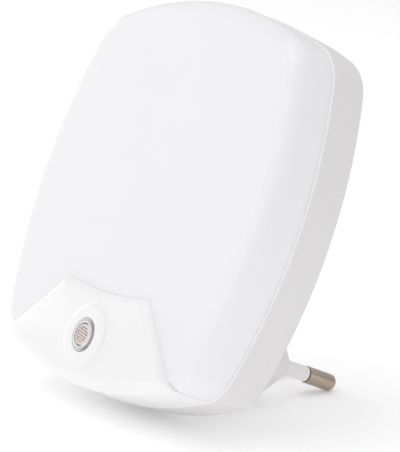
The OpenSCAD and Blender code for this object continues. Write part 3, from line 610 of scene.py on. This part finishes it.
disc = bmesh.new()
faces = [disc_ring(disc, sensor_y + sensor_round * (1 - rise), sensor_round * drawn)
         for rise, drawn in reversed(quarter(5))]
faces.append(disc_ring(disc, sensor_y + sensor_t, 0))
bridge(disc, faces)
for end in (faces[0], faces[-1]):
    bmesh.ops.contextual_create(disc, geom=end)
make_piece(disc, "sensor_disc", ceramic, "light_sensor")

# Cadmium sulphide, printed and fired: red-brown, matt, and uneven over patches of about 1.1 mm
pale_below, dark_above = -1, 1.6
sulphide, tree, _, place, _ = grained(
    "cadmium_sulphide", "C29486", "5A2A1C", 1.11, {"Roughness": 0.7})
# The track is darker towards the top of the face and pale pink at its foot
height = add_node(tree, "ShaderNodeSeparateXYZ", {"Vector": place})
darker_upwards = add_node(tree, "ShaderNodeMapRange", {
    "Value": height.outputs["Z"], "From Min": (sensor_z + pale_below) / 1000,
    "From Max": (sensor_z + dark_above) / 1000,
    "To Max": tree.nodes["Noise Texture"].outputs["Fac"]})
tree.links.new(darker_upwards.outputs["Result"], tree.nodes["Mix"].inputs["Factor"])

track = bmesh.new()
rows, row_pitch, line_w, line_t, print_r = 6, 0.62, 0.22, 0.08, 1.85
line_round, line_up, print_turn = 0.05, 0.03, 12
# Each row is a bar, and a short upright bar joins it to the next row, at one end and the other
# by turns; the edges that go through the film are rounded
for row in range(rows):
    z = (row - (rows - 1) / 2) * row_pitch
    reach = sqrt(print_r ** 2 - z ** 2)
    bars = [((0, z), (2 * reach, line_w))]
    if row < rows - 1:
        beyond = sqrt(print_r ** 2 - (z + row_pitch) ** 2)
        end = (min(reach, beyond) - line_w / 2) * (1 if row % 2 else -1)
        bars.append(((end, z + row_pitch / 2), (line_w, row_pitch)))
    for (x, up), (width, height) in bars:
        bar = bmesh.ops.create_cube(track, size=1)["verts"]
        bmesh.ops.scale(track, vec=(width, line_t, height), verts=bar)
        bmesh.ops.translate(track, vec=(x, 0, up), verts=bar)
        edges = [e for e in track.edges if e.verts[0] in bar and e.verts[1] in bar
                 and abs(e.verts[0].co.y - e.verts[1].co.y) > line_t / 2]
        bmesh.ops.bevel(track, geom=edges, offset=line_round, segments=3, profile=0.5,
                        affect="EDGES", material=-1)
on_face = (sensor_x, sensor_y - line_t / 2 + line_up, sensor_z)
bmesh.ops.transform(track, verts=track.verts, matrix=(
    Matrix.Translation(on_face) @ Matrix.Rotation(radians(print_turn), 4, "Y")))
make_piece(track, "sensor_rows", sulphide, "sensor_track")

# ---- Contact pins and sleeves ----
# Two solid pins, nickel-plated brass, turned with a rounded tip and a collar behind the plug
# face; an insulating sleeve is moulded on where a finger could reach while unplugging.
pin_r, tip_r, core_r = 2, 1.5, 1.4
sleeve_r, sleeve_l, sleeve_gap, sleeve_short = 1.8, 10, 0.03, 0.2
collar_r, collar_back, tail_r, tail_back = 2.6, 4.5, 1.2, 9.5
end_break, collar_break, tail_break = 0.12, 0.15, 0.2
sleeve_end = sleeve_l - sleeve_short

# Nickel plating over brass, bright but worn: its turning and wear marks, a few hundredths of a
# millimetre apart, are drawn 1.1 mm wide and 17 mm long so that they show; the dark streaks
# they give its colour along the pin are partly painted reflections
mark_w, mark_l = 1.11, 16.7
nickel = bpy.data.materials.new("nickel_plated_brass")
nickel.use_nodes = True
tree = nickel.node_tree
coat = tree.nodes["Principled BSDF"]
place = add_node(tree, "ShaderNodeTexCoord", {})
along = add_node(tree, "ShaderNodeMapping", {
    "Vector": place.outputs["Object"], "Scale": (1000 / mark_w, 1000 / mark_l, 1000 / mark_w)})
streak = add_node(tree, "ShaderNodeTexNoise", {
    "Vector": along.outputs["Vector"], "Scale": 1, "Detail": 3, "Roughness": 0.55})
wear_and_reflection_streaks = add_node(tree, "ShaderNodeMapRange", {
    "Value": streak.outputs["Fac"], "From Min": 0.35, "From Max": 0.65})
# Painted reflections and wear: the colour darkens in streaks along the pin
tint = add_node(tree, "ShaderNodeMix", {
    "Factor": wear_and_reflection_streaks.outputs["Result"], "A": linear("BDAFA1"), "B": linear("A69585")},
    data_type="RGBA")
worn = add_node(tree, "ShaderNodeMapRange", {
    "Value": streak.outputs["Fac"], "To Min": 0.12, "To Max": 0.34})
tree.links.new(tint.outputs["Result"], coat.inputs["Base Color"])
tree.links.new(worn.outputs["Result"], coat.inputs["Roughness"])
coat.inputs["Metallic"].default_value = 1

# Pale grey polyamide, satin from its mould, clouded over patches of 1.25 mm
sleeve_grey = grained("grey_polyamide", "ECEAEC", "F1EFF1", 1.25, {"Roughness": 0.4})[0]

shank = [(0, -tail_back), (tail_r - tail_break, -tail_back), (tail_r, tail_break - tail_back),
         (tail_r, -collar_back), (collar_r - collar_break, -collar_back),
         (collar_r, collar_break - collar_back), (collar_r, -boss_end_t), (core_r, -boss_end_t),
         (core_r, sleeve_l), (pin_r - end_break, sleeve_l), (pin_r, sleeve_l + end_break)]
nose = [(pin_r - tip_r * drawn, pin_l - tip_r * (1 - rise)) for rise, drawn in quarter(10)]
sheath = [(core_r + sleeve_gap, -boss_end_t), (sleeve_r, -boss_end_t),
          (sleeve_r, sleeve_end - end_break), (sleeve_r - end_break, sleeve_end),
          (core_r + sleeve_gap, sleeve_end)]
for side, name in ((-1, "left"), (1, "right")):
    on_pin = (Matrix.Translation((side * pin_pitch / 2, 0, 0))
              @ Matrix.Rotation(side * toe, 4, "Z") @ to_back)
    metal = bmesh.new()
    turned(metal, shank + nose + [(0, pin_l)], on_pin, 64)
    make_piece(metal, "pin_" + name, nickel, "contact_pin_" + name)
    cover = bmesh.new()
    turned(cover, sheath, on_pin, 64)
    make_piece(cover, "sleeve_" + name, sleeve_grey, "pin_sleeve_" + name)

# ---- Plug retainer, screws and leads ----
# Inside the boss a plate holds the pins' collars against the plug face under two screws; an
# insulated lead is soldered to each pin's tail and runs to the board, blue left and brown right.


def dress(node, material):
    """Gives a CAD node its material."""
    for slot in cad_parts[node].material_slots:
        slot.material = material


def within(tree, place, axis, spans):
    """1 where a coordinate lies in one of the spans (middle, half width) in mm, otherwise 0."""
    part = add_node(tree, "ShaderNodeSeparateXYZ", {"Vector": place}).outputs[axis]
    found = None
    for middle, half in spans:
        here = add_node(tree, "ShaderNodeMath", {
            0: part, 1: middle / 1000, 2: half / 1000}, operation="COMPARE").outputs[0]
        found = here if found is None else add_node(
            tree, "ShaderNodeMath", {0: found, 1: here}, operation="MAXIMUM").outputs[0]
    return found


def paint(tree, coat, under, mask, colour):
    """Lays a colour over the base colour where the mask is 1."""
    over = add_node(tree, "ShaderNodeMix", {
        "Factor": mask, "A": under, "B": linear(colour)}, data_type="RGBA")
    tree.links.new(over.outputs["Result"], coat.inputs["Base Color"])
    return over.outputs["Result"]


def tinned_legs(tree, coat, under, body):
    """Bare tinned wire wherever the body's mask is 0."""
    wire = add_node(tree, "ShaderNodeMath", {0: 1.0, 1: body}, operation="SUBTRACT").outputs[0]
    tree.links.new(wire, coat.inputs["Metallic"])
    return paint(tree, coat, under, wire, "C6C4C0")


# Glass-filled polyamide, uncoloured: a slightly warm, matt white with a fibre mottle of 0.8 mm
dress("pin_retainer", grained("natural_glass_filled_polyamide", "E4E0D6", "F0EDE4", 0.83,
                              {"Roughness": 0.55, "IOR": 1.53})[0])

# Bright zinc plating on steel: bluish silver; its crystals are far finer, and are drawn at 0.4 mm
# so that they show
zinc = grained("bright_zinc_plated_steel", "AEB3BA", "CBD0D4", 0.4,
               {"Metallic": 1, "Roughness": 0.3})[0]
dress("retainer_screws", zinc)
dress("board_screws", zinc)

# PVC wire insulation, extruded: glossy and faintly waxy, clouded over 1.4 mm
for side, name, dark, light in (("left", "blue_pvc_insulation", "1F4E9C", "2A5DAF"),
                                ("right", "brown_pvc_insulation", "5B3620", "6C442A")):
    dress("pin_lead_" + side, grained(name, dark, light, 1.43, {"Roughness": 0.35, "IOR": 1.53})[0])

# ---- Sensor leads ----
# Two straight wires of tinned copper. They are pressed into the sensor's back, go through the
# board and are soldered there; the tin is bright, with a crystal bloom of 0.3 mm.
dress("sensor_leads", grained("tinned_copper_wire", "B9B7B2", "D2D0CB", 0.33,
                              {"Metallic": 1, "Roughness": 0.28})[0])

# ---- Circuit board ----
# A paper-and-glass board, routed with chamfered corners, held on the four posts by screws. Both
# faces carry a white solder mask that throws the lamp chips' light forward; its edge is bare.
board_middle, core_half = -35.9, 0.76
# Screened solder mask, glossy and uneven over 2.5 mm, on a core the colour of straw
board, tree, coat, place, tint = grained("white_masked_cem_board", "EEF0EE", "F6F7F4", 2.5,
                                         {"Roughness": 0.3, "IOR": 1.55})
core = within(tree, place, "Y", [(board_middle, core_half)])
paint(tree, coat, tint, core, "D9CFA6")
dress("main_board", board)

# ---- Lamp chips ----
# Six white surface-mount lamps in two rows: a moulded reflector body round a cup that is filled
# with yellow phosphor gel.
chip_pitch_x, chip_pitch_z, chip_z, gel_r = 15.24, 20.32, 12.43, 1.27
# Moulded polyphthalamide, satin white with flow marks of 0.7 mm
chips, tree, coat, place, tint = grained("lamp_chip_polyphthalamide", "E9E8E4", "F3F2EE", 0.67,
                                         {"Roughness": 0.4, "IOR": 1.56})
set_down = add_node(tree, "ShaderNodeVectorMath", {0: place, 1: (0, 0, chip_z / 1000)},
                    operation="SUBTRACT")
# Every chip's place, wrapped to within half a pitch of its own middle
half_x, half_z = chip_pitch_x / 2000, chip_pitch_z / 2000
wrapped = add_node(tree, "ShaderNodeVectorMath", {
    0: set_down.outputs[0], 1: (half_x, 1, half_z), 2: (-half_x, -1, -half_z)},
    operation="WRAP")
flat = add_node(tree, "ShaderNodeVectorMath", {0: wrapped.outputs[0], 1: (1, 0, 1)},
                operation="MULTIPLY")
reach = add_node(tree, "ShaderNodeVectorMath", {0: flat.outputs[0]}, operation="LENGTH")
gel = add_node(tree, "ShaderNodeMath", {0: reach.outputs["Value"], 1: gel_r / 1000},
               operation="LESS_THAN")
paint(tree, coat, tint, gel.outputs[0], "F2D64A")
dress("leds", chips)

# ---- Capacitors ----
# The dropper is a metallised film capacitor potted in a flame-proof box; the smoothing capacitor
# is an aluminium can in a shrunk sleeve, with a pale stripe by its negative leg.
film_middle, film_half = 32.75, 6.01
# Moulded polybutylene terephthalate, satin brick red with flow marks of 2 mm
film, tree, coat, place, tint = grained("red_brown_polybutylene_box", "8E2A22", "A2352B", 2,
                                        {"Roughness": 0.4, "IOR": 1.55})
tinned_legs(tree, coat, tint, within(tree, place, "Z", [(film_middle, film_half)]))
dress("dropper_capacitor", film)

can_middle, can_half, stripe_x, stripe_half = 31.465, 5.74, 14, 0.9
# Shrunk polyester film, glossy navy with ripples of 1.7 mm
can, tree, coat, place, tint = grained("navy_shrink_sleeve", "1B2233", "242C40", 1.67,
                                       {"Roughness": 0.3, "IOR": 1.57})
stripe = within(tree, place, "X", [(stripe_x, stripe_half)])
tint = paint(tree, coat, tint, stripe, "B9BDC4")
tinned_legs(tree, coat, tint, within(tree, place, "Z", [(can_middle, can_half)]))
dress("smoothing_capacitor", can)

# ---- Rectifier diodes ----
# Four axial diodes in a bridge: a black epoxy barrel with a silver band at the cathode, on
# tinned legs that are bent down through the board.
diode_columns, diode_half, cathode_off, cathode_half = (-13.97, -2.54), 2.61, 1.7, 0.4
# Moulded epoxy, satin black: its mineral filler is far finer, and is drawn at 0.5 mm so that it
# shows
epoxy, tree, coat, place, tint = grained("black_epoxy_barrel", "1B1B1C", "262627", 0.5,
                                         {"Roughness": 0.45, "IOR": 1.55})
barrels = within(tree, place, "X", [(x, diode_half) for x in diode_columns])
tint = tinned_legs(tree, coat, tint, barrels)
cathodes = within(tree, place, "X", [(x + cathode_off, cathode_half) for x in diode_columns])
paint(tree, coat, tint, cathodes, "C9CACC")
dress("rectifier_diodes", epoxy)

# ---- Switching transistor ----
# A small three-legged transistor, transfer-moulded in black epoxy with one flat side. It stands
# off the board on its soldered legs and switches the lamp chips for the sensor.
case_middle, case_half = -30.6, 2.31
# Epoxy with the dull face of its mould; the filler is drawn at 0.5 mm, as on the diodes
case, tree, coat, place, tint = grained("black_transfer_moulded_epoxy", "202021", "2C2C2D", 0.5,
                                        {"Roughness": 0.5, "IOR": 1.55})
tinned_legs(tree, coat, tint, within(tree, place, "Y", [(case_middle, case_half)]))
dress("switching_transistor", case)

# ---- Resistors ----
# Three film resistors in beige lacquer with printed colour bands, and a larger fusible one in
# green-grey cement that opens the circuit if the dropper fails.
resistor_columns, resistor_half, band_half = (-13.97, -2.54, 11.43), 3.16, 0.28
# Dipped lacquer, glossy beige, thicker and thinner over 0.7 mm
lacquer, tree, coat, place, tint = grained("beige_resistor_lacquer", "CDB58A", "DAC59D", 0.67,
                                           {"Roughness": 0.35, "IOR": 1.52})
bodies = within(tree, place, "X", [(x, resistor_half) for x in resistor_columns])
tint = tinned_legs(tree, coat, tint, bodies)
for offset, colour in ((-2.2, "6B3E1E"), (-1.1, "1C1C1C"), (0, "C9A227"), (1.8, "B08D2E")):
    band = within(tree, place, "X", [(x + offset, band_half) for x in resistor_columns])
    tint = paint(tree, coat, tint, band, colour)
dress("resistors", lacquer)

fusible_x, fusible_half, wide_band_half = 12.7, 5.01, 0.4
# Baked silicone cement, matt green-grey: its grit is finer, and is drawn at 0.7 mm so that it
# shows
cement, tree, coat, place, tint = grained("flame_proof_resistor_cement", "8E9C8C", "9FAD9C", 0.67,
                                          {"Roughness": 0.7, "IOR": 1.5})
tint = tinned_legs(tree, coat, tint, within(tree, place, "X", [(fusible_x, fusible_half)]))
for offset, colour in ((-3.2, "B5651D"), (-1.6, "B5651D"), (0, "1C1C1C"), (2.8, "B08D2E")):
    band = within(tree, place, "X", [(fusible_x + offset, wide_band_half)])
    tint = paint(tree, coat, tint, band, colour)
dress("fusible_resistor", cement)

# ---- Zener diode ----
# A small glass diode that limits the supply's voltage: an orange-tinted sealed glass barrel with
# a black cathode band.
zener_x, zener_half, band_off, zener_band_half = -8.89, 1.91, 1.09, 0.3
# Fused glass, glossy, its orange tint streaked over 0.8 mm
seal, tree, coat, place, tint = grained("orange_diode_glass", "B4532A", "C8683A", 0.83,
                                        {"Roughness": 0.08, "IOR": 1.5})
tint = tinned_legs(tree, coat, tint, within(tree, place, "X", [(zener_x, zener_half)]))
band = within(tree, place, "X", [(zener_x + band_off, zener_band_half)])
paint(tree, coat, tint, band, "161616")
dress("zener_diode", seal)
